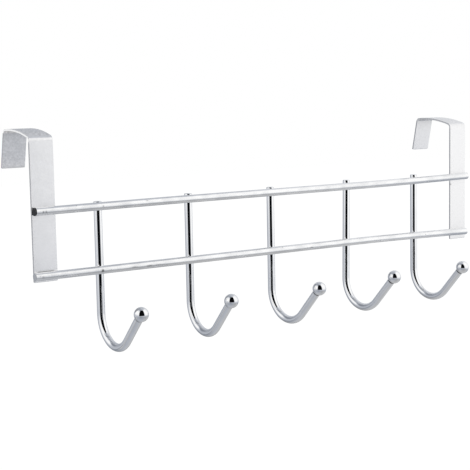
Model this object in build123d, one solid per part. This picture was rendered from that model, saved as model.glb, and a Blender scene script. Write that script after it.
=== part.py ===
from build123d import *

import os
from math import acos, cos, degrees, radians, sin, sqrt, tan

# Over-door hook rack: two bent steel straps hang on a door's top edge and carry
# two round rails. J-shaped hook wires are welded behind the rails, and each ends
# in a welded ball.
#
# Frame: X runs along the rails, +Y points into the door, +Z is up. The origin is
# midway between the straps at the door's top front edge: the back faces of the
# front legs lie at Y = 0 and the front bends start at Z = 0. The hook stems stand
# further back than the front legs, so a door's face meets them lower down.

# Driving dimensions, in millimetres and degrees

# Rails
strap_span = 459.2  # between the straps' outer edges
rail_inset = 0.75  # rail end inside a strap's outer edge
rail_diameter = 6.4
rail_spacing = 50.5
top_rail_drop = 50.5  # door's top edge down to the top rail's centre line
rail_end_chamfer = 0.4
top_rail_shift = -0.3  # as welded: right of its nominal place
bottom_rail_shift = -1.6  # as welded: right of its nominal place

# Hanger straps
strap_width = 20.0
strap_thickness = 1.5
front_leg_length = 107.8
front_bend_radius = 2.5  # inside radius
front_bend_angle = 73.4
bridge_radius = 114.0  # inside radius of the shallow arch over the door
door_gap = 45.0  # between the legs, at the level of the door's top edge
back_bend_radius = 2.5  # inside radius
back_leg_splay = 12.4  # lean of the back leg away from the door
back_leg_drop = 22.8  # reach of the back leg below the door's top edge
strap_corner_radius = 0.8
strap_edge_radius = 0.3
left_strap_lift = 1.9  # as welded: above its nominal place
right_strap_lift = -1.9  # as welded: below its nominal place

# Hook wires
hook_wire_diameter = 6.5
hook_pitch = 84.2
hook_row_offset = -3.0  # middle hook from the rack's middle
hook_shifts = (0.0, 0.1, 0.0, 0.9, -0.6)  # as welded: each hook right of its nominal place
hook_lifts = (-1.1, -0.3, -0.1, 1.1, 1.5)  # as welded: each hook above its nominal place
hook_turns = (-0.8, -2.8, 1.1, 0.1, -0.8)  # as welded: small turn of each hook about its stem
hook_leans = (0.0, 0.0, 0.0, 0.9, 0.0)  # as welded: sideways lean of each hook on the rails
stub_height = 4.2  # wire end above the top rail's centre line
stub_chamfer = 0.5
stem_below_rail = 34.0  # bottom rail's centre line down to the start of the bend
hook_bend_radius = 24.1  # to the wire's centre line
tip_angle = 46.3  # rise of the straight tip above the horizontal
tip_length = 33.7  # end of the bend to the ball's centre

# Ball tips
ball_diameter = 11.4
ball_land_margin = 0.2  # how far the ball's welded flat stands out round the wire

# Set-down of the resistance welds
strap_weld_depth = 0.25  # rail flattened on to the strap
cross_weld_depth = 0.4  # hook wire notched on to the rail

# Derived places
rail_radius = rail_diameter / 2
wire_radius = hook_wire_diameter / 2
ball_radius = ball_diameter / 2
strap_face_y = -strap_thickness
rail_y = strap_face_y - rail_radius + strap_weld_depth
stem_y = rail_y + rail_radius + wire_radius - cross_weld_depth
top_rail_z = -top_rail_drop
bottom_rail_z = top_rail_z - rail_spacing
lean_pivot_z = (top_rail_z + bottom_rail_z) / 2
bend_start_z = bottom_rail_z - stem_below_rail
stub_top_z = top_rail_z + stub_height
rail_length = strap_span - 2 * rail_inset
left_strap_x = -strap_span / 2
right_strap_x = strap_span / 2 - strap_width
ball_land_radius = wire_radius + ball_land_margin
ball_land_distance = sqrt(ball_radius**2 - ball_land_radius**2)
edge_round = min(strap_edge_radius, 0.4 * strap_thickness)


def polar(centre, radius, angle):
    """Point in the strap's side view, at an angle from +Y towards +Z."""
    y, z = centre
    return (y + radius * cos(radians(angle)), z + radius * sin(radians(angle)))


def back_bend_start_angle(bridge_centre):
    """Angle about the bridge's centre at which the back bend takes over from the arch.

    The back bend touches the arch and the back leg's inside line, which leans by the
    splay and passes the door's top edge at the door gap.
    """
    lean = radians(back_leg_splay)
    centre_along_normal = bridge_centre[0] * cos(lean) + bridge_centre[1] * sin(lean)
    reach = door_gap * cos(lean) - back_bend_radius - centre_along_normal
    return back_leg_splay + degrees(acos(reach / (bridge_radius - back_bend_radius)))


def strap_side_view():
    """Closed outline of a strap seen from the side, in the YZ plane."""
    front_centre = (front_bend_radius, 0.0)
    front_end_angle = 180.0 - front_bend_angle
    bridge_centre = polar(front_centre, front_bend_radius - bridge_radius, front_end_angle)
    bridge_end_angle = back_bend_start_angle(bridge_centre)
    back_centre = polar(bridge_centre, bridge_radius - back_bend_radius, bridge_end_angle)
    leg_end = (door_gap + back_leg_drop * tan(radians(back_leg_splay)), -back_leg_drop)

    def faces(offset):
        """Edges of one face of the strip, and the ends of its two legs."""
        front_foot = (-offset, -front_leg_length)
        back_foot = polar(leg_end, offset, back_leg_splay)
        front_radius = front_bend_radius + offset
        arch_radius = bridge_radius + offset
        back_radius = back_bend_radius + offset
        edges = [
            Line(front_foot, polar(front_centre, front_radius, 180.0)),
            CenterArc(front_centre, front_radius, 180.0, -front_bend_angle),
            CenterArc(bridge_centre, arch_radius, front_end_angle, bridge_end_angle - front_end_angle),
            CenterArc(back_centre, back_radius, bridge_end_angle, back_leg_splay - bridge_end_angle),
            Line(polar(back_centre, back_radius, back_leg_splay), back_foot),
        ]
        return edges, front_foot, back_foot

    inside, front_inside, back_inside = faces(0.0)
    outside, front_outside, back_outside = faces(strap_thickness)
    ends = [Line(front_inside, front_outside), Line(back_inside, back_outside)]
    return make_face(Curve() + inside + outside + ends)


def hanger_strap(x_start, lift):
    """One bent strap, with rounded corners on its feet and broken edges along its sides."""
    strap = extrude(Plane.YZ * strap_side_view(), amount=strap_width)
    feet = strap.faces().filter_by(GeomType.PLANE).sort_by(SortBy.AREA)[:2]
    corners = [e for foot in feet for e in foot.edges() if abs(e.tangent_at(0.5).X) < 0.5]
    strap = fillet(corners, strap_corner_radius)
    sides = [strap.faces().sort_by(Axis.X)[0], strap.faces().sort_by(Axis.X)[-1]]
    strap = fillet([e for side in sides for e in side.edges()], edge_round)
    return Pos(x_start, 0, lift) * strap


def rail_rod(shift, z):
    """A full round rod along X, with chamfered ends."""
    rod = Cylinder(rail_radius, rail_length, rotation=(0, 90, 0))
    rod = chamfer(rod.edges().filter_by(GeomType.CIRCLE), rail_end_chamfer)
    return Pos(shift, rail_y, z) * rod


def rail(shift, z):
    """A rail with a flat near each end, where it is welded to the front of a strap."""
    height = 2 * rail_diameter
    flat = Box(strap_width, strap_thickness, height, align=(Align.MIN, Align.MIN, Align.CENTER))
    flats = [Pos(x, strap_face_y, z) * flat for x in (left_strap_x, right_strap_x)]
    return rail_rod(shift, z) - flats


def on_hook(index):
    """Where a hook's own frame sits: on its stem's axis, placed as the hook was welded.

    A hook leans about the middle between the rails, and turns about its own stem.
    """
    middle = (len(hook_turns) - 1) / 2
    x = hook_row_offset + (index - middle) * hook_pitch + hook_shifts[index]
    pivot = Pos(x, stem_y, hook_lifts[index] + lean_pivot_z)
    as_welded = Rot(0, hook_leans[index], 0) * Rot(0, 0, hook_turns[index])
    return pivot * as_welded * Pos(0, 0, -lean_pivot_z)


def bend_end():
    """Where the straight tip starts in a hook's own frame, and the tip's direction."""
    rise = radians(tip_angle)
    start = Vector(0, -hook_bend_radius * (1 + sin(rise)), bend_start_z - hook_bend_radius * cos(rise))
    return start, Vector(0, -cos(rise), sin(rise))


def hook_wire(index, rods):
    """A J-shaped wire: stem, bend and straight tip, notched where it crosses the rails."""
    stem_length = stub_top_z - bend_start_z
    stem = Pos(0, 0, bend_start_z) * Cylinder(
        wire_radius, stem_length, align=(Align.CENTER, Align.CENTER, Align.MIN)
    )
    stem = chamfer(stem.edges().sort_by(Axis.Z)[-1], stub_chamfer)
    bend_axis = Axis((0, -hook_bend_radius, bend_start_z), (-1, 0, 0))
    section = Pos(0, 0, bend_start_z) * Circle(wire_radius)
    bend = revolve(section, axis=bend_axis, revolution_arc=90 + tip_angle)
    start, direction = bend_end()
    tip = Plane(start, x_dir=(1, 0, 0), z_dir=direction) * Cylinder(
        wire_radius, tip_length - ball_land_distance, align=(Align.CENTER, Align.CENTER, Align.MIN)
    )
    return on_hook(index) * (stem + bend + tip) - rods


def ball_tip(index):
    """A ball with a flat land, welded to the end of the wire."""
    start, direction = bend_end()
    centre = start + direction * tip_length
    land = Plane(centre - direction * ball_land_distance, x_dir=(1, 0, 0), z_dir=direction)
    ball = Pos(centre) * Sphere(ball_radius)
    return on_hook(index) * split(ball, bisect_by=land, keep=Keep.TOP)


parts = {
    "left_hanger_strap": hanger_strap(left_strap_x, left_strap_lift),
    "right_hanger_strap": hanger_strap(right_strap_x, right_strap_lift),
    "top_rail": rail(top_rail_shift, top_rail_z),
    "bottom_rail": rail(bottom_rail_shift, bottom_rail_z),
}
rail_rods = [rail_rod(top_rail_shift, top_rail_z), rail_rod(bottom_rail_shift, bottom_rail_z)]
for index in range(len(hook_turns)):
    parts[f"hook_wire_{index + 1}"] = hook_wire(index, rail_rods)
    parts[f"ball_tip_{index + 1}"] = ball_tip(index)

os.makedirs("parts", exist_ok=True)
for name, solid in parts.items():
    export_step(solid, f"parts/{name}.step")
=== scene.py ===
from math import acos, asin, atan2, cos, degrees, exp, hypot, pi, radians, sin, sqrt, tan

import bmesh
import bpy
from mathutils import Matrix, Vector


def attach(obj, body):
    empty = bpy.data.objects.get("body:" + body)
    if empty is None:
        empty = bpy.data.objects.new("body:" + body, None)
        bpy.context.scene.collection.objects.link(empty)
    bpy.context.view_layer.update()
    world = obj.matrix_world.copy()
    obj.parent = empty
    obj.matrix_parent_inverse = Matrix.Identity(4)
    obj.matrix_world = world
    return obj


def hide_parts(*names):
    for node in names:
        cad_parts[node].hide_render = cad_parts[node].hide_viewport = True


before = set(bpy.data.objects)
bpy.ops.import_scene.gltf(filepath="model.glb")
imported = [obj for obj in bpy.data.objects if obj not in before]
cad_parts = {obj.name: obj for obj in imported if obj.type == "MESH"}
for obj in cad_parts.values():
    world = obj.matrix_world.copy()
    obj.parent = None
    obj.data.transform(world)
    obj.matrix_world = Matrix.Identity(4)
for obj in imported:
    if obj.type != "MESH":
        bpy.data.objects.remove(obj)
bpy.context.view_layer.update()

# Sizes in millimetres and degrees, as in the part's source
METRES = 0.001
strap_span = 459.2
strap_width = 20.0
strap_thickness = 1.5
front_leg_length = 107.8
front_bend_radius = 2.5
front_bend_angle = 73.4
bridge_radius = 114.0
door_gap = 45.0
back_bend_radius = 2.5
back_leg_splay = 12.4
back_leg_drop = 22.8
strap_corner_radius = 0.8
strap_lifts = {"left_hanger_strap": 1.9, "right_hanger_strap": -1.9}
strap_starts = {"left_hanger_strap": -strap_span / 2, "right_hanger_strap": strap_span / 2 - strap_width}
rail_radius = 3.2
rail_length = 457.7
rail_y = -4.45
rail_heights = {"top_rail": -50.5, "bottom_rail": -101.0}
rail_shifts = {"top_rail": -0.3, "bottom_rail": -1.6}
wire_radius = 3.25
stem_y = 1.6
hook_places = (-171.4, -87.1, -3.0, 82.1, 164.8)
hook_lifts = (-1.1, -0.3, -0.1, 1.1, 1.5)
hook_turns = (-0.8, -2.8, 1.1, 0.1, -0.8)
hook_leans = (0.0, 0.0, 0.0, 0.9, 0.0)
lean_pivot_z = -75.75
stub_top_z = -46.3
stub_round = 0.5
bend_start_z = -135.0
hook_bend_radius = 24.1
tip_angle = 46.3
tip_length = 33.7
ball_radius = 5.7
ball_land = 4.537  # ball's centre to its flat land

# Finish of the welds
weld_fillet = 1.3
seam_fillet = 0.6
seam_width = 1.1
seam_strengths = (0.6, 0.3, 1.0, 0.9, 0.8)  # how dark the weld's heat mark and the painted shade in its crevice are at each ball

# Finish of the rails
rail_end_round = 0.15
rail_bend_start = 92.0  # how far from the middle a rail starts to bend towards its end
rail_bend_power = 1.5  # how sharply it bends from there
rail_end_rises = {"top_rail": (-0.6, 1.0), "bottom_rail": (0.0, -1.6)}  # at the left and right straps
dark_reflection_lengths = {"top_rail": 1.2, "bottom_rail": 0.0}  # painted dark reflection on the left end of a rail
dark_reflection_tones = {"top_rail": 1.0, "bottom_rail": 0.27}
dark_reflection_on_round = 0.8  # share of the painted dark reflection on the end's rounding
# Small dark marks on the rails: place along the rail, angle round it from the back over the top,
# half length, half height and darkness
rail_marks = {
    "top_rail": (
        (-222.6, 186.0, 0.6, 0.6, 0.8),
        (-220.3, 188.0, 0.6, 0.6, 0.8),
        (-171.3, 176.0, 0.7, 0.7, 0.5),
        (-131.4, 150.0, 1.0, 0.5, 0.45),
    ),
    "bottom_rail": (
        (-224.6, 184.0, 0.9, 0.9, 0.4),
        (-173.5, 184.0, 1.1, 1.1, 1.0),
        (-144.8, 184.0, 3.2, 0.6, 0.5),
        (-131.0, 188.0, 3.0, 0.7, 0.55),
        (-122.5, 189.0, 4.0, 0.6, 0.45),
        (34.7, 190.0, 1.5, 0.7, 0.5),
    ),
}

# Finish of the straps
strap_edge_radius = 0.2
foot_taper_start = 0.35  # distance from a foot's end at which the strip starts to get thinner
foot_taper = 0.6  # thinning of each face over that distance, as a share of it
shade_depth = 4.0  # fading of the shade on a back leg under its bend
shade_tone = 0.5
# Painted contact shadows on the straps' front legs, by the rails: height above the foot, half height,
# left and right ends from the strap's middle, and darkness
painted_contact_shadows = {
    "left_hanger_strap": (7.7, 0.8, -8.0, 7.0, 0.85),
    "right_hanger_strap": (53.2, 0.7, -10.5, -9.2, 0.9),
}
contact_shadow_fade = 1.0  # fading at the ends of such a painted shadow
# How strongly the cut edges carry a painted highlight or painted shade, and how mottled the whole strip is,
# on each stretch
painted_highlight_edges = {
    "left_hanger_strap": {"front bend": 1.0, "bridge": 1.0},
    "right_hanger_strap": {},
}
painted_shade_edges = {
    "left_hanger_strap": {"front leg": 1.0, "back leg": 1.0},
    "right_hanger_strap": {"front leg": 1.0, "front bend": 0.5, "bridge": 0.2, "back leg": 1.0},
}
mottled_stretches = {
    "left_hanger_strap": {"front leg": 0.08, "front bend": 0.2, "bridge": 1.0, "back leg": 0.5},
    "right_hanger_strap": {"front leg": 0.08, "front bend": 0.2, "bridge": 0.75, "back leg": 0.15},
}
edge_band = (0.6, 0.95)  # how far a point must face sideways to count as part of a cut edge


# Blending

def smooth(low, high, value):
    """0 below low, 1 above high and a soft step between; low may be the larger number."""
    share = min(max((value - low) / (high - low), 0.0), 1.0)
    return share * share * (3 - 2 * share)


def mix(first, second, share):
    """A value between two others."""
    return first + (second - first) * share


# Mesh making

SHARP_ANGLE = 50.0  # edges with a sharper turn than this stay crisp
END_STEPS = 4  # steps round a rod's rounded end
TINY = 1e-6


def make_piece(name, rings, node, material, masks):
    """Closed skin through rings of points, shown in place of a CAD node."""
    count = len(rings[0])
    points = [point * METRES for ring in rings for point in ring]
    faces = []
    for i in range(len(rings) - 1):
        for j in range(count):
            k = (j + 1) % count
            faces.append((i * count + j, i * count + k, (i + 1) * count + k, (i + 1) * count + j))
    last = (len(rings) - 1) * count
    faces.append(tuple(reversed(range(count))))
    faces.append(tuple(range(last, last + count)))
    mesh = bpy.data.meshes.new(name)
    mesh.from_pydata(points, [], faces)
    work = bmesh.new()
    work.from_mesh(mesh)
    bmesh.ops.recalc_face_normals(work, faces=work.faces)
    work.to_mesh(mesh)
    work.free()
    mesh.shade_smooth()
    mesh.set_sharp_from_angle(angle=radians(SHARP_ANGLE))
    for mask, values in masks.items():
        layer = mesh.attributes.new(mask, "FLOAT", "POINT")
        layer.data.foreach_set("value", values)
    mesh.materials.append(material)
    piece = bpy.data.objects.new(name, mesh)
    bpy.context.scene.collection.objects.link(piece)
    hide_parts(node)
    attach(piece, "root")


def steps(start, end, coarse, fine_places, fine=0.3, reach=4.6):
    """Stations from start to end, close together near the given places."""
    stations = [start]
    while stations[-1] < end - TINY:
        here = stations[-1]
        near = any(place - reach - coarse < here < place + reach for place in fine_places)
        stations.append(min(end, here + (fine if near else coarse)))
    return stations


def rounded_end(radius, rounding):
    """Distance from the end and radius, at each ring round the end of a rod."""
    rings = []
    for step in range(END_STEPS + 1):
        angle = step / END_STEPS * pi / 2
        rings.append((rounding * (1 - cos(angle)), radius - rounding * (1 - sin(angle))))
    return rings


# Weld fillets: a point near another piece moves out along its normal, in several tries

FILLET_TRIES = 12
FILLET_STEP = 0.7  # share of the remaining distance covered by one try
FILLET_LIMIT = 0.6  # longest way out, as a share of the fillet's size
FILLET_DEPTH = 0.15  # points deeper inside the other piece than this don't move


def smooth_union(a, b, size):
    """Signed distance to two solids joined by a fillet."""
    share = max(size - abs(a - b), 0.0) / size
    return min(a, b) - share * share * size / 4


def swell(point, normal, own, other, size):
    """Moves a surface point out to the weld's fillet between its own solid and another."""
    if not 0.0 <= other(point) + FILLET_DEPTH < size:
        return point
    limit = FILLET_LIMIT * size
    reach = 0.0
    for _ in range(FILLET_TRIES):
        place = point + normal * reach
        reach -= FILLET_STEP * smooth_union(own(place), other(place), size)
        if reach > limit:
            break
    return point + normal * min(max(reach, 0.0), limit)


def rail_height(node, x):
    """Height of a rail's centre line, which bends a little towards its ends."""
    left_rise, right_rise = rail_end_rises[node]
    rise = right_rise if x > 0 else left_rise
    share = max(abs(x) - rail_bend_start, 0.0) / (strap_starts["right_hanger_strap"] - rail_bend_start)
    return rail_heights[node] + rise * share ** rail_bend_power


def rail_distance(node):
    """Signed distance to a rail."""
    return lambda p: hypot(p.y - rail_y, p.z - rail_height(node, p.x)) - rail_radius


def stem_distance(index):
    """Signed distance to a hook's stem."""
    into_hook = on_hook(index).inverted()

    def distance(p):
        own = into_hook @ p
        return hypot(own.x, own.y) - wire_radius

    return distance


def strap_distance(p):
    """Signed distance to the front of the straps."""
    return -strap_thickness - p.y


# Hook wires and balls

tip_rise = radians(tip_angle)
tip_start_y = -hook_bend_radius * (1 + sin(tip_rise))
tip_start_z = bend_start_z - hook_bend_radius * cos(tip_rise)
tip_start = Vector((0, tip_start_y, tip_start_z))
tip_direction = Vector((0, -cos(tip_rise), sin(tip_rise)))
ball_centre = tip_start + tip_direction * tip_length
side_axis = Vector((1, 0, 0))
WIRE_POINTS = 48
STEM_STEP = 3.0
BEND_RINGS = 56
TIP_STEP = 2.5
TIP_FINE_STEP = 0.2  # near the ball
BALL_RINGS = 46
POLE_ANGLE = 0.012  # the ball's first ring, in radians from its pole
TIP_OVERLAP = 1.0  # how far the tip reaches into the ball where their fillet is worked out


def on_hook(index):
    """Where a hook's own frame sits."""
    turn = Matrix.Rotation(radians(hook_turns[index]), 4, "Z")
    lean = Matrix.Rotation(radians(hook_leans[index]), 4, "Y")
    place = Matrix.Translation((hook_places[index], stem_y, hook_lifts[index] + lean_pivot_z))
    return place @ lean @ turn @ Matrix.Translation((0, 0, -lean_pivot_z))


def wire_stations(index):
    """Centre, direction and radius at each ring of a hook wire, in its own frame."""
    stations = []
    down = Vector((0, 0, -1))
    for drop, radius in rounded_end(wire_radius, stub_round):
        stations.append((Vector((0, 0, stub_top_z - drop)), down, radius))
    crossings = [-(z - hook_lifts[index]) for z in rail_heights.values()]
    for depth in steps(-stub_top_z + stub_round, -bend_start_z, STEM_STEP, crossings)[1:]:
        stations.append((Vector((0, 0, -depth)), down, wire_radius))
    sweep = radians(90 + tip_angle)
    for ring in range(1, BEND_RINGS + 1):
        angle = sweep * ring / BEND_RINGS
        y = -hook_bend_radius * (1 - cos(angle))
        z = bend_start_z - hook_bend_radius * sin(angle)
        stations.append((Vector((0, y, z)), Vector((0, -sin(angle), -cos(angle))), wire_radius))
    wire_end = tip_length - ball_land
    for along in steps(0.0, wire_end, TIP_STEP, [wire_end], fine=TIP_FINE_STEP, reach=TIP_STEP)[1:]:
        stations.append((tip_start + tip_direction * along, tip_direction, wire_radius))
    return stations


def ball_distance(p):
    """Signed distance to a ball, in its hook's own frame."""
    return (p - ball_centre).length - ball_radius


def tip_distance(p):
    """Signed distance to a tip's wire, in its hook's own frame."""
    offset = p - ball_centre
    along = offset.dot(tip_direction)
    across = (offset - tip_direction * along).length - wire_radius
    return max(across, along + ball_land - TIP_OVERLAP)


def seam_mask(point):
    """1 on the circle where a wire meets its ball, fading out to both sides, in the hook's own frame."""
    along = (point - ball_centre).dot(tip_direction)
    return exp(-((along + ball_land) / seam_width) ** 2)


def make_wire(index, material):
    """A hook wire with fillets at the rails and at its ball."""
    place = on_hook(index)
    turn = place.to_3x3()
    stem = stem_distance(index)
    rails = [rail_distance(node) for node in rail_heights]
    rings, seam = [], []
    for centre, direction, radius in wire_stations(index):
        across = direction.cross(side_axis)
        on_tip = direction.z > 0
        ring = []
        for j in range(WIRE_POINTS):
            angle = 2 * pi * j / WIRE_POINTS
            normal = side_axis * cos(angle) + across * sin(angle)
            point = centre + normal * radius
            point = swell(point, normal, tip_distance, ball_distance, seam_fillet)
            seam.append(seam_strengths[index] * seam_mask(point) if on_tip else 0.0)
            point = place @ point
            normal = turn @ normal
            for rail in rails:
                point = swell(point, normal, stem, rail, weld_fillet)
            ring.append(point)
        rings.append(ring)
    node = f"hook_wire_{index + 1}"
    make_piece(f"{node}_plated", rings, node, material, {"seam": seam})


def make_ball(index, material):
    """A ball with a fillet at its wire, from its pole to its flat land."""
    place = on_hook(index)
    land_angle = acos(-ball_land / ball_radius)
    across = tip_direction.cross(side_axis)
    rings, seam = [], []
    for ring_number in range(BALL_RINGS + 1):
        from_pole = POLE_ANGLE + (land_angle - POLE_ANGLE) * ring_number / BALL_RINGS
        ring = []
        for j in range(WIRE_POINTS):
            angle = 2 * pi * j / WIRE_POINTS
            outward = side_axis * cos(angle) + across * sin(angle)
            normal = tip_direction * cos(from_pole) + outward * sin(from_pole)
            point = ball_centre + normal * ball_radius
            point = swell(point, normal, ball_distance, tip_distance, seam_fillet)
            seam.append(seam_strengths[index] * seam_mask(point))
            ring.append(place @ point)
        rings.append(ring)
    node = f"ball_tip_{index + 1}"
    make_piece(f"{node}_plated", rings, node, material, {"seam": seam})


# Rails

RAIL_POINTS = 56
RAIL_STEP = 3.0
DARK_REFLECTION_STEP = 0.9  # between the last two rings of a painted dark end
DARK_REFLECTION_EDGE = 0.1  # over which a painted dark end stops


def rail_stations(node):
    """Place, radius and painted dark reflection at each ring of a rail, from its left end."""
    start = rail_shifts[node] - rail_length / 2
    end = start + rail_length
    dark_reflection_and_marks = dark_reflection_tones[node]
    ends = rounded_end(rail_radius, rail_end_round)
    stations = [(start + inset, radius, dark_reflection_and_marks * (dark_reflection_on_round if inset else 1.0)) for inset, radius in ends]
    body = start + rail_end_round
    if dark_reflection_lengths[node]:
        body = start + dark_reflection_lengths[node]
        stations += [(body - DARK_REFLECTION_STEP, rail_radius, dark_reflection_and_marks), (body, rail_radius, dark_reflection_and_marks)]
    stations.append((body + DARK_REFLECTION_EDGE, rail_radius, 0.0))
    close_places = list(hook_places) + [mark[0] for mark in rail_marks[node]]
    for x in steps(body + DARK_REFLECTION_EDGE, end - rail_end_round, RAIL_STEP, close_places)[1:]:
        stations.append((x, rail_radius, 0.0))
    stations += [(end - inset, radius, 0.0) for inset, radius in reversed(ends[:-1])]
    return stations


def rail_mark_tone(node, x, angle):
    """Darkness of a rail's small marks at a place along it and an angle round it."""
    tone = 0.0
    for mark_x, mark_angle, half_length, half_height, darkness in rail_marks[node]:
        along = (x - mark_x) / half_length
        round_it = radians(angle - mark_angle) * rail_radius / half_height
        tone = max(tone, darkness * exp(-along ** 2 - round_it ** 2))
    return tone


def make_rail(node, material):
    """A rail with fillets at the stems and straps."""
    own = rail_distance(node)
    stems = [stem_distance(index) for index in range(len(hook_places))]
    rings, dark_reflections_and_marks = [], []
    for x, radius, dark_reflection_and_marks in rail_stations(node):
        on_strap = any(start < x < start + strap_width for start in strap_starts.values())
        ring = []
        for j in range(RAIL_POINTS):
            angle = 2 * pi * j / RAIL_POINTS
            normal = Vector((0, cos(angle), sin(angle)))
            point = Vector((x, rail_y, rail_height(node, x))) + normal * radius
            for stem in stems:
                point = swell(point, normal, own, stem, weld_fillet)
            if on_strap:
                point = swell(point, normal, own, strap_distance, weld_fillet)
            ring.append(point)
            # one mask holds the painted dark reflection of the left end and the rail's own small dark marks
            dark_reflections_and_marks.append(max(dark_reflection_and_marks, rail_mark_tone(node, x, degrees(angle))))
        rings.append(ring)
    make_piece(f"{node}_plated", rings, node, material, {"dark_reflection_and_marks": dark_reflections_and_marks})


# Hanger straps

FOOT_RINGS = (0.0, 0.05, 0.12, 0.22, 0.35, 0.5, 0.65, 0.8)  # distances from a foot's end
LEG_STEP = 2
SHADOW_RINGS = 4  # rings to each side of a painted shadow's middle
STRAP_BEND_RINGS = 26
BRIDGE_RINGS = 40
BACK_LEG_RINGS = 12
CORNER_STEPS = 6  # round each edge of the strip
FACE_STEPS = 10  # across each face of the strip
EDGE_SUPPORT = 0.1  # from a rounded edge to the first points on a face


def polar(centre, radius, angle):
    """Point in the strap's side view, at an angle from +Y towards +Z."""
    return (centre[0] + radius * cos(radians(angle)), centre[1] + radius * sin(radians(angle)))


def strap_path():
    """Stations along the strap's inside face: point, outward angle and stretch of the strap."""
    front_centre = (front_bend_radius, 0.0)
    front_end_angle = 180.0 - front_bend_angle
    bridge_centre = polar(front_centre, front_bend_radius - bridge_radius, front_end_angle)
    lean = radians(back_leg_splay)
    along_normal = bridge_centre[0] * cos(lean) + bridge_centre[1] * sin(lean)
    reach = door_gap * cos(lean) - back_bend_radius - along_normal
    bridge_end_angle = back_leg_splay + degrees(acos(reach / (bridge_radius - back_bend_radius)))
    back_centre = polar(bridge_centre, bridge_radius - back_bend_radius, bridge_end_angle)
    leg_start = polar(back_centre, back_bend_radius, back_leg_splay)
    leg_end = (door_gap + back_leg_drop * tan(lean), -back_leg_drop)
    shadow_steps = range(-SHADOW_RINGS, SHADOW_RINGS + 1)
    close = tuple(mark[0] + mark[1] * step / 2 for mark in painted_contact_shadows.values() for step in shadow_steps)
    even = tuple(range(LEG_STEP, int(front_leg_length), LEG_STEP))
    stations = []
    for rise in sorted(FOOT_RINGS + close + even):
        stations.append(((0.0, -front_leg_length + rise), 180.0, "front leg"))
    for stretch, centre, radius, start, end, count in (
        ("front bend", front_centre, front_bend_radius, 180.0, front_end_angle, STRAP_BEND_RINGS),
        ("bridge", bridge_centre, bridge_radius, front_end_angle, bridge_end_angle, BRIDGE_RINGS),
        ("bridge", back_centre, back_bend_radius, bridge_end_angle, back_leg_splay, STRAP_BEND_RINGS),
    ):
        for step in range(count):
            angle = start + (end - start) * step / count
            stations.append((polar(centre, radius, angle), angle, stretch))
    leg = hypot(leg_end[0] - leg_start[0], leg_end[1] - leg_start[1])
    falls = [leg * step / BACK_LEG_RINGS for step in range(BACK_LEG_RINGS)]
    falls += [leg - distance for distance in reversed(FOOT_RINGS)]
    for fall in falls:
        point = tuple(mix(a, b, fall / leg) for a, b in zip(leg_start, leg_end))
        stations.append((point, back_leg_splay, "back leg"))
    return stations


def strip_section(half_width, half_thickness):
    """Rounded outline of the strip: offsets across and through it, and 1 where it faces sideways."""
    outline = []
    for corner, (side, face) in enumerate(((1, 1), (-1, 1), (-1, -1), (1, -1))):
        for step in range(CORNER_STEPS + 1):
            angle = radians(90 * corner + 90 / CORNER_STEPS * step)
            outline.append((
                side * (half_width - strap_edge_radius) + strap_edge_radius * cos(angle),
                face * (half_thickness - strap_edge_radius) + strap_edge_radius * sin(angle),
                smooth(*edge_band, abs(cos(angle))),
            ))
        if corner % 2 == 0:
            flat = half_width - strap_edge_radius - EDGE_SUPPORT
            for step in range(FACE_STEPS + 1):
                outline.append((side * flat * (1 - 2 * step / FACE_STEPS), face * half_thickness, 0.0))
    return outline


def make_strap(node, material):
    """A bent strip with rounded feet, and masks for its painted edge highlights and shade, mottling and
    painted contact shadows.
    """
    stations = strap_path()
    middle_x = strap_starts[node] + strap_width / 2
    first, last = Vector(stations[0][0]), Vector(stations[-1][0])
    leg_top = max(place[1] for place, angle, stretch in stations if stretch == "back leg")
    shadow_rise, shadow_half, left_end, right_end, shadow_tone = painted_contact_shadows[node]
    rings, painted_highlight, painted_shade, mottle, contact_shadow = [], [], [], [], []
    for place, angle, stretch in stations:
        to_end = min((Vector(place) - first).length, (Vector(place) - last).length)
        inset = max(strap_corner_radius - to_end, 0.0)
        narrow = strap_corner_radius - sqrt(strap_corner_radius ** 2 - inset ** 2)
        thin = max(foot_taper_start - to_end, 0.0) * foot_taper
        section = strip_section(strap_width / 2 - narrow, strap_thickness / 2 - thin)
        out = Vector((0, cos(radians(angle)), sin(radians(angle))))
        centre = Vector((middle_x, place[0], place[1] + strap_lifts[node])) + out * strap_thickness / 2
        shade = shade_tone * exp((place[1] - leg_top) / shade_depth) if stretch == "back leg" else 0.0
        # painted contact shadow: a dark line on the front leg just by a rail, where shade falls in the gap
        line = 0.0
        if stretch == "front leg":
            line = shadow_tone * exp(-((place[1] + front_leg_length - shadow_rise) / shadow_half) ** 2)
        ring = []
        for across, through, sideways in section:
            ring.append(centre + side_axis * across + out * through)
            # painted highlight and painted shade on the cut edges, and painted shade on a back leg under
            # its bend
            painted_highlight.append(sideways * painted_highlight_edges[node].get(stretch, 0.0))
            painted_shade.append(max(sideways * painted_shade_edges[node].get(stretch, 0.0), shade))
            inside = smooth(left_end, left_end + contact_shadow_fade, across)
            inside *= smooth(right_end + contact_shadow_fade, right_end, across)
            contact_shadow.append(line * inside)
            mottle.append(mottled_stretches[node][stretch])
        rings.append(ring)
    masks = {"painted_highlight": painted_highlight, "painted_shade": painted_shade, "mottle": mottle, "contact_shadow": contact_shadow}
    make_piece(f"{node}_satin", rings, node, material, masks)


# Materials: noise scales count waves per metre, bumps have a depth in metres and a strength,
# and colour ramps are pairs of a place and a colour

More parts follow.
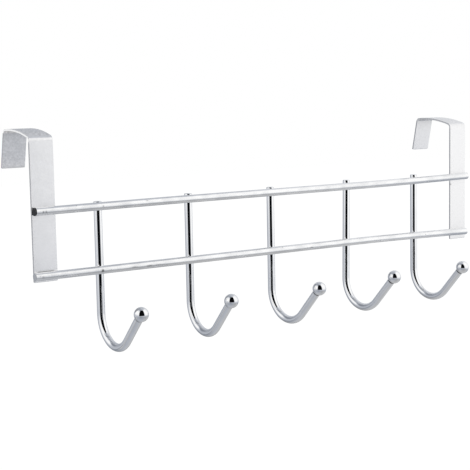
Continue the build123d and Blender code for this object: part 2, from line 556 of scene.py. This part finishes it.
chrome_clouds = ((0.3, (0.90, 0.905, 0.915)), (0.7, (0.955, 0.955, 0.955)))
chrome_roughness = (0.03, 0.075)
chrome_waves = (0.0001, 0.05)
weld_mark_and_shade_colour = (0.035, 0.033, 0.032)
seam_patches = (0.6, 1.0)  # weakest and strongest weld mark and painted shade along a seam
seam_limits = (0.1, 0.6)  # where the weld mark and painted shade start and where they are full
rail_clouds = ((0.32, (0.80, 0.805, 0.815)), (0.6, (0.95, 0.95, 0.95)))
rail_cloud_stretch = (0.45, 1.0, 1.0)
rail_wave_stretch = (0.5, 1.0, 1.0)
rail_roughness = (0.10, 0.2)
rail_waves = (0.0002, 0.25)
rail_dents = (0.0001, 0.12)
pit_colour = (0.25, 0.25, 0.26)
pit_limits = (0.73, 0.79)  # noise at which a pit starts and at which it is full
pit_tone = 0.6
# colour of the painted dark reflection on the rail ends, and of the rails' small dark marks
dark_reflection_and_mark_colour = (0.02, 0.02, 0.022)
strap_grain = ((0.3, (0.85, 0.85, 0.86)), (0.7, (0.90, 0.90, 0.91)))
strap_specks = ((0.36, (1.0, 0.985, 0.97)), (0.64, (0.72, 0.71, 0.70)))
strap_metal = (0.8, 0.1)  # on its faces and on its edges with the painted highlight
strap_roughness = (0.14, 0.19)
strap_bumps = (0.00005, 0.15)
painted_highlight_colour = (0.95, 0.95, 0.95)
painted_shade_colour = (0.54, 0.54, 0.55)
contact_shadow_colour = (0.16, 0.16, 0.17)
floor_clouds = ((0.3, (0.90, 0.90, 0.90)), (0.7, (0.92, 0.92, 0.92)))
most_noise = (0.3, 0.7)  # range that most of a noise lies in
mark_and_shade_range = (0.38, 0.6)


def new_material(name):
    """A material with its nodes, links and main shader."""
    material = bpy.data.materials.new(name)
    material.use_nodes = True
    tree = material.node_tree
    return material, tree.nodes, tree.links, tree.nodes["Principled BSDF"]


def noise(nodes, links, scale, detail=3.0, roughness=0.55, stretch=None):
    """Noise over the object's own coordinates."""
    coordinates = nodes.new("ShaderNodeTexCoord")
    texture = nodes.new("ShaderNodeTexNoise")
    texture.inputs["Scale"].default_value = scale
    texture.inputs["Detail"].default_value = detail
    texture.inputs["Roughness"].default_value = roughness
    source = coordinates.outputs["Object"]
    if stretch:
        mapping = nodes.new("ShaderNodeMapping")
        mapping.inputs["Scale"].default_value = stretch
        links.new(source, mapping.inputs["Vector"])
        source = mapping.outputs["Vector"]
    links.new(source, texture.inputs["Vector"])
    return texture.outputs["Fac"]


def ramp(nodes, links, factor, stops):
    """Colour ramp through its stops."""
    node = nodes.new("ShaderNodeValToRGB")
    for element, (place, colour) in zip(node.color_ramp.elements, stops):
        element.position = place
        element.color = (*colour, 1.0)
    links.new(factor, node.inputs["Fac"])
    return node.outputs["Color"]


def span(nodes, links, value, source, target):
    """Maps a value from one range to another."""
    node = nodes.new("ShaderNodeMapRange")
    for name, number in zip(("From Min", "From Max", "To Min", "To Max"), source + target):
        node.inputs[name].default_value = number
    links.new(value, node.inputs["Value"])
    return node.outputs["Result"]


def mix_colour(nodes, links, factor, first, second):
    """Mixes a colour with a second one, which is either fixed or another node's colour."""
    node = nodes.new("ShaderNodeMix")
    node.data_type = "RGBA"
    links.new(factor, node.inputs["Factor"])
    links.new(first, node.inputs["A"])
    if isinstance(second, tuple):
        node.inputs["B"].default_value = (*second, 1.0)
    else:
        links.new(second, node.inputs["B"])
    return node.outputs["Result"]


def product(nodes, links, first, second):
    """One value times another."""
    node = nodes.new("ShaderNodeMath")
    node.operation = "MULTIPLY"
    links.new(first, node.inputs[0])
    links.new(second, node.inputs[1])
    return node.outputs["Value"]


def attribute(nodes, name):
    """A mask stored on the mesh."""
    node = nodes.new("ShaderNodeAttribute")
    node.attribute_name = name
    return node.outputs["Fac"]


def add_bump(nodes, links, shader, layers):
    """Chains bumps: each layer is a height, its depth in metres and its strength."""
    normal = None
    for height, depth, strength in layers:
        bump = nodes.new("ShaderNodeBump")
        bump.inputs["Distance"].default_value = depth
        bump.inputs["Strength"].default_value = strength
        links.new(height, bump.inputs["Height"])
        if normal:
            links.new(normal, bump.inputs["Normal"])
        normal = bump.outputs["Normal"]
    links.new(normal, shader.inputs["Normal"])


def chrome_material(name):
    """Mirror chrome plating with faint clouding, and dark heat marks with painted crevice shade at the
    welds of the balls.
    """
    material, nodes, links, shader = new_material(name)
    shader.inputs["Metallic"].default_value = 1.0
    clouds = noise(nodes, links, scale=140.0)
    colour = ramp(nodes, links, clouds, chrome_clouds)
    mark_and_shade_noise = noise(nodes, links, scale=260.0, detail=2.0)
    patchy = span(nodes, links, mark_and_shade_noise, mark_and_shade_range, seam_patches)
    # painted shade: the seam mask darkens the crevice where a wire meets its ball, together with the weld's
    # own heat mark
    seam = product(nodes, links, attribute(nodes, "seam"), patchy)
    seam = span(nodes, links, seam, seam_limits, (0.0, 1.0))
    colour = mix_colour(nodes, links, seam, colour, weld_mark_and_shade_colour)
    links.new(colour, shader.inputs["Base Color"])
    fine = noise(nodes, links, scale=900.0)
    links.new(span(nodes, links, fine, most_noise, chrome_roughness), shader.inputs["Roughness"])
    waves = noise(nodes, links, scale=220.0, detail=1.0)
    add_bump(nodes, links, shader, [(waves, *chrome_waves)])
    return material


def rail_material(name):
    """Bright plating over drawn wire: mottled, with small pits, dark marks and a painted dark reflection on
    its left end.
    """
    material, nodes, links, shader = new_material(name)
    shader.inputs["Metallic"].default_value = 1.0
    clouds = noise(nodes, links, scale=180.0, stretch=rail_cloud_stretch)
    colour = ramp(nodes, links, clouds, rail_clouds)
    spots = noise(nodes, links, scale=420.0, detail=1.0)
    pits = span(nodes, links, spots, pit_limits, (0.0, pit_tone))
    colour = mix_colour(nodes, links, pits, colour, pit_colour)
    # painted reflection: the left rail ends are darkened, along with the rails' own small dark marks
    colour = mix_colour(nodes, links, attribute(nodes, "dark_reflection_and_marks"), colour, dark_reflection_and_mark_colour)
    links.new(colour, shader.inputs["Base Color"])
    fine = noise(nodes, links, scale=500.0)
    links.new(span(nodes, links, fine, most_noise, rail_roughness), shader.inputs["Roughness"])
    waves = noise(nodes, links, scale=260.0, detail=2.0, stretch=rail_wave_stretch)
    add_bump(nodes, links, shader, [(waves, *rail_waves), (spots, *rail_dents)])
    return material


def strap_material(name):
    """Satin plated strip with a fine grain; its cut edges carry a painted highlight or painted shade."""
    material, nodes, links, shader = new_material(name)
    painted_highlight = attribute(nodes, "painted_highlight")
    links.new(span(nodes, links, painted_highlight, (0.0, 1.0), strap_metal), shader.inputs["Metallic"])
    grain = noise(nodes, links, scale=2600.0, detail=2.0)
    colour = ramp(nodes, links, grain, strap_grain)
    blotches = noise(nodes, links, scale=520.0)
    specks = ramp(nodes, links, blotches, strap_specks)
    colour = mix_colour(nodes, links, attribute(nodes, "mottle"), colour, specks)
    # painted highlight on the cut edges, then painted shade on them and under the back bend
    colour = mix_colour(nodes, links, painted_highlight, colour, painted_highlight_colour)
    colour = mix_colour(nodes, links, attribute(nodes, "painted_shade"), colour, painted_shade_colour)
    # painted contact shadow by the rails
    colour = mix_colour(nodes, links, attribute(nodes, "contact_shadow"), colour, contact_shadow_colour)
    links.new(colour, shader.inputs["Base Color"])
    patches = noise(nodes, links, scale=160.0)
    links.new(span(nodes, links, patches, most_noise, strap_roughness), shader.inputs["Roughness"])
    add_bump(nodes, links, shader, [(grain, *strap_bumps)])
    return material


# Stage: a light tent and a table card that only reflections see, a pale floor and a white surround

# Tones of the tent's parts
table_tone = 0.46
far_table_tone = 0.36
left_table_rise = 0.11  # the table is lighter on the left
left_table_fall = 0.09  # and darker again behind that, low down
back_tone = 0.38
left_back_tone = 0.27
low_left_back_tone = 0.43
right_tone = 1.05
right_beside_gap = 0.62  # share of the right panel's light close to the gap
left_tone = 1.02
right_roof_tone = 0.54
left_roof_tone = 0.40
gap_tone = 0.004
tent_coolness = 0.14

# Places in the tent are azimuths and elevations in degrees; azimuths run from the rack's front towards
# its left. The dark gap has right and left sides, a floor and a top
gap_sides = (-9.5, 64.0)
gap_heights = (-15.7, 67.0)
gap_blur = 2.0
gap_floor_blur = 1.5

# Edges of the tent's other parts: where a soft step starts and where it ends
gap_shade_azimuths = (0, -36)
gap_shade_elevations = (0, 25)
right_panel_width = 118  # from the back to its full tone
right_panel_power = 0.85
right_roof_starts = (34, 52)  # towards the back and towards the front
right_roof_azimuths = (-120, -65)
right_roof_blur = 26
right_foot = (-31, 0)
left_panel_edge = (147, 131)
left_back_azimuths = (160, 180)
left_back_elevations = (2, 14)
left_roof = (32, 64)
far_left_azimuths = (95, 125)
light_table_end = (165, 145)
dark_table_start = (145, 158)
dark_table_end = (180, 168)
dark_table_elevations = (-14, -24)
left_foot_starts = (-26, -12)  # near and far
left_foot_end = 10
panel_change = (15, 45)

# The tent's place, in metres
tent_radius = 0.87
tent_centre = Vector((-0.045, 0.0, -0.08))
tent_front_azimuth = 0.605  # in radians
tent_front = Vector((-sin(tent_front_azimuth), -cos(tent_front_azimuth), 0.0))
table_fade = (-0.75, 0.1)  # from the far side towards the front, in radii
TENT_COLUMNS = 180
TENT_ROWS = 90

# The card on the table, under the hooks: places in metres, and slopes of its tone per metre
card_half = 0.55
card_height = -0.42
card_left = -0.36
card_left_tone = 0.45
card_right_slope = 0.26
card_right_edge = (-0.03, 0.05)
card_right_fall = 0.06  # across that edge
card_front = -0.4  # its tone no longer changes in front of this
card_front_slope = 0.3
card_back_start = 0.06
card_back_slope = -0.7
spot_back_slope = 0.55
spot_side = (-0.26, -0.39)
spot_front = (0.06, 0.16)
spot_back = (0.39, 0.3)
card_limits = (0.3, 0.66)
card_coolness = (0.15, 0.03)  # on the left, and on the right and the spot
card_coolness_edge = (-0.3, 0.15)
CARD_CELLS = 24

green_share = 0.35  # how much of the cool cast the green channel takes
floor_half = 12.0
floor_height = -1.0
floor_glow = 0.12


def tent_tone(direction):
    """Brightness of the tent in a direction from its middle.

    A large white panel stands on the right and a smaller one on the left, the back is grey, and the
    camera looks in through a dark gap at the front.
    """
    elevation = degrees(asin(direction.z))
    azimuth = degrees(atan2(-direction.x, -direction.y))
    table = mix(far_table_tone, table_tone, smooth(*table_fade, direction.dot(tent_front)))

    from_gap = max(smooth(*gap_shade_azimuths, azimuth), smooth(*gap_shade_elevations, elevation))
    right_share = min(1.0, (azimuth + 180) / right_panel_width) ** right_panel_power
    right = mix(back_tone, right_tone, right_share * mix(right_beside_gap, 1.0, from_gap))
    roof_start = mix(*right_roof_starts, smooth(*right_roof_azimuths, azimuth))
    right = mix(right, right_roof_tone, smooth(roof_start, roof_start + right_roof_blur, elevation))
    right = mix(table, right, smooth(*right_foot, elevation))

    left_back = mix(left_back_tone, back_tone, smooth(*left_back_azimuths, azimuth))
    left_back = mix(low_left_back_tone, left_back, smooth(*left_back_elevations, elevation))
    left = mix(left_back, left_tone, smooth(*left_panel_edge, azimuth))
    left = mix(left, left_roof_tone, smooth(*left_roof, elevation))
    far_left = smooth(*far_left_azimuths, azimuth)
    dark_table = smooth(*dark_table_start, azimuth) * smooth(*dark_table_end, azimuth)
    dark_table *= smooth(*dark_table_elevations, elevation)
    left_table = table + left_table_rise * far_left * smooth(*light_table_end, azimuth)
    left_table -= left_table_fall * dark_table
    left = mix(left_table, left, smooth(mix(*left_foot_starts, far_left), left_foot_end, elevation))

    tone = mix(right, left, smooth(*panel_change, azimuth))
    gap_right, gap_left = gap_sides
    gap_floor, gap_top = gap_heights
    across = smooth(gap_right - gap_blur, gap_right + gap_blur, azimuth)
    across *= smooth(gap_left + gap_blur, gap_left - gap_blur, azimuth)
    upright = smooth(gap_floor - gap_floor_blur, gap_floor + gap_floor_blur, elevation)
    upright *= smooth(gap_top + gap_blur, gap_top - gap_blur, elevation)
    return mix(tone, gap_tone, across * upright)


def left_spot(x, y):
    """The part of the card that the right-hand tips reflect."""
    return smooth(*spot_side, x) * smooth(*spot_back, y) * smooth(*spot_front, y)


def card_tone(x, y):
    """Brightness of the card.

    It is lighter towards the right, and darker towards the front and the back, but for a lighter spot
    at the back on the left.
    """
    tone = card_left_tone + card_right_slope * (x - card_left)
    tone += card_front_slope * min(max(y, card_front), 0.0)
    tone += mix(card_back_slope, spot_back_slope, left_spot(x, y)) * max(y - card_back_start, 0.0)
    tone -= card_right_fall * smooth(*card_right_edge, x)
    darkest, lightest = card_limits
    return min(max(tone, darkest), lightest)


def tinted(tone, coolness):
    """A tone with the cool cast of its darker parts."""
    cool = coolness * max(1 - tone, 0.0)
    return (tone * (1 - cool), tone * (1 - green_share * cool), tone * (1 + cool), 1.0)


def make_glow(name, points, faces, colours):
    """Surface that only reflections see, with a colour at each of its points."""
    mesh = bpy.data.meshes.new(name)
    mesh.from_pydata(points, [], faces)
    layer = mesh.attributes.new("tone", "FLOAT_COLOR", "POINT")
    layer.data.foreach_set("color", [channel for colour in colours for channel in colour])
    material, nodes, links, shader = new_material(name)
    nodes.remove(shader)
    glow = nodes.new("ShaderNodeEmission")
    source = nodes.new("ShaderNodeAttribute")
    source.attribute_name = "tone"
    links.new(source.outputs["Color"], glow.inputs["Color"])
    links.new(glow.outputs["Emission"], nodes["Material Output"].inputs["Surface"])
    mesh.materials.append(material)
    surface = bpy.data.objects.new(name, mesh)
    bpy.context.scene.collection.objects.link(surface)
    surface.visible_camera = False
    surface.visible_diffuse = False
    surface.visible_shadow = False


def make_card():
    """A level card of square cells."""
    points, colours, faces = [], [], []
    for row in range(CARD_CELLS + 1):
        for column in range(CARD_CELLS + 1):
            x = tent_centre.x + card_half * (2 * column / CARD_CELLS - 1)
            y = tent_centre.y + card_half * (2 * row / CARD_CELLS - 1)
            points.append((x, y, card_height))
            coolness = mix(*card_coolness, max(smooth(*card_coolness_edge, x), left_spot(x, y)))
            colours.append(tinted(card_tone(x, y), coolness))
    for row in range(CARD_CELLS):
        for column in range(CARD_CELLS):
            corner = row * (CARD_CELLS + 1) + column
            above = corner + CARD_CELLS + 1
            faces.append((corner, corner + 1, above + 1, above))
    make_glow("table_card", points, faces, colours)


def make_tent():
    """A sphere round the rack."""
    points, colours, faces = [], [], []
    for row in range(TENT_ROWS + 1):
        elevation = radians(-90 + 180 * row / TENT_ROWS)
        for column in range(TENT_COLUMNS):
            azimuth = radians(-180 + 360 * column / TENT_COLUMNS)
            flat = cos(elevation)
            direction = Vector((-sin(azimuth) * flat, -cos(azimuth) * flat, sin(elevation)))
            points.append(tent_centre + direction * tent_radius)
            colours.append(tinted(tent_tone(direction), tent_coolness))
    for row in range(TENT_ROWS):
        below = row * TENT_COLUMNS
        above = below + TENT_COLUMNS
        for column in range(TENT_COLUMNS):
            after = (column + 1) % TENT_COLUMNS
            faces.append((below + column, below + after, above + after, above + column))
    make_glow("light_tent", points, faces, colours)


def make_floor():
    """A pale matt floor, far below the hanging rack."""
    mesh = bpy.data.meshes.new("floor")
    sides = ((-1, -1), (1, -1), (1, 1), (-1, 1))
    corners = [(x * floor_half, y * floor_half, floor_height) for x, y in sides]
    mesh.from_pydata(corners, [], [(0, 1, 2, 3)])
    material, nodes, links, shader = new_material("pale_floor")
    shader.inputs["Roughness"].default_value = 0.9
    shader.inputs["Specular IOR Level"].default_value = 0.0
    tint = ramp(nodes, links, noise(nodes, links, scale=3.0), floor_clouds)
    links.new(tint, shader.inputs["Base Color"])
    shader.inputs["Emission Color"].default_value = (1.0, 1.0, 1.0, 1.0)
    shader.inputs["Emission Strength"].default_value = floor_glow
    mesh.materials.append(material)
    floor = bpy.data.objects.new("floor", mesh)
    bpy.context.scene.collection.objects.link(floor)


def make_surround():
    """White light from all round."""
    world = bpy.data.worlds.new("surround")
    world.use_nodes = True
    background = world.node_tree.nodes["Background"]
    background.inputs["Color"].default_value = (1.0, 1.0, 1.0, 1.0)
    background.inputs["Strength"].default_value = 1.0
    bpy.context.scene.world = world
    bpy.context.scene.view_settings.view_transform = "Standard"


# Camera at the photograph's angle: angles in radians, lengths in metres

camera_azimuth = 0.60504
camera_elevation = 0.1183
camera_roll = -0.01936
camera_distance = 1.02119
camera_target = Vector((-0.04488, -0.00425, -0.084158))
frame_width = 470  # of the picture, in pixels
focal_pixels = 1210.588
near_limit = 0.01


def make_camera():
    """A camera that looks at its target from the given angles and distance."""
    flat = cos(camera_elevation)
    back = Vector((-sin(camera_azimuth) * flat, -cos(camera_azimuth) * flat, sin(camera_elevation)))
    level = Vector((cos(camera_azimuth), -sin(camera_azimuth), 0.0))
    rise = back.cross(level)
    right = level * cos(camera_roll) + rise * sin(camera_roll)
    up = rise * cos(camera_roll) - level * sin(camera_roll)
    data = bpy.data.cameras.new("camera")
    data.sensor_width = 36.0
    data.sensor_fit = "HORIZONTAL"
    data.lens = focal_pixels / frame_width * data.sensor_width
    data.clip_start = near_limit
    camera = bpy.data.objects.new("camera", data)
    turn = Matrix((right, up, back)).transposed().to_4x4()
    camera.matrix_world = Matrix.Translation(camera_target + back * camera_distance) @ turn
    bpy.context.scene.collection.objects.link(camera)
    bpy.context.scene.camera = camera


chrome_wire = chrome_material("chrome_wire")
chrome_ball = chrome_material("chrome_ball")
plated_rail = rail_material("plated_rail")
satin_strap = strap_material("satin_strap")
for strap in strap_lifts:
    make_strap(strap, satin_strap)
for rail in rail_heights:
    make_rail(rail, plated_rail)
for hook in range(len(hook_places)):
    make_wire(hook, chrome_wire)
    make_ball(hook, chrome_ball)
make_tent()
make_card()
make_floor()
make_surround()
make_camera()
